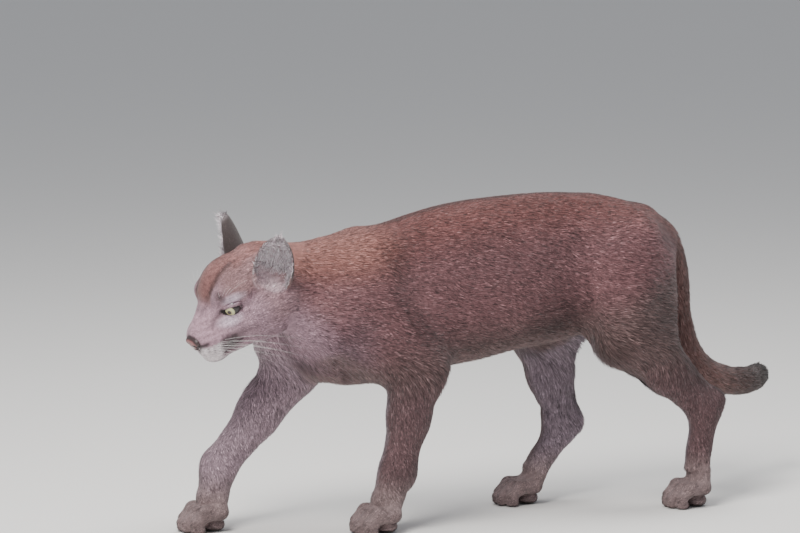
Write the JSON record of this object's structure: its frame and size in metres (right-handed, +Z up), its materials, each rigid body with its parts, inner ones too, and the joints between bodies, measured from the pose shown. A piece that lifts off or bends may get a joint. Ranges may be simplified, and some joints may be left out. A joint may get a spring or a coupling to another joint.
{
  "type": "cougar, still life-size model",
  "caption": "Life-size cougar caught in a slow walk with its head low, short taupe-brown coat and a dark-tipped tail hanging behind.",
  "frame": {"origin": "middle of the animal's box, at the floor under its soles", "axes": "+X from the nose towards the tail, +Y towards the animal's right side, +Z up"},
  "size_m": [1.3088, 0.3176, 0.6155],
  "materials": {
    "coat": "short matte fur",
    "pale_coat": "pale short fur",
    "paw_coat": "short fur with dark pads below",
    "dark_coat": "near black fur",
    "nose_leather": "moist bare skin",
    "eye": "wet, glossy"
  },
  "bodies": {
    "root": {"head": "coat", "lower_jaw": "pale_coat", "nose": "nose_leather", "eye_left": "eye", "eye_right": "eye", "ear_left": "coat", "ear_right": "coat", "neck": "coat", "chest": "coat", "belly": "coat", "rump": "coat", "upper_arm_left": "coat", "upper_arm_right": "coat", "forearm_left": "coat", "forearm_right": "coat", "forepaw_left": "paw_coat", "forepaw_right": "paw_coat", "thigh_left": "coat", "thigh_right": "coat", "shank_left": "coat", "shank_right": "coat", "hind_foot_left": "paw_coat", "hind_foot_right": "paw_coat", "tail_root": "coat", "tail_middle": "coat", "tail_tip": "dark_coat"}
  },
  "joints": []
}
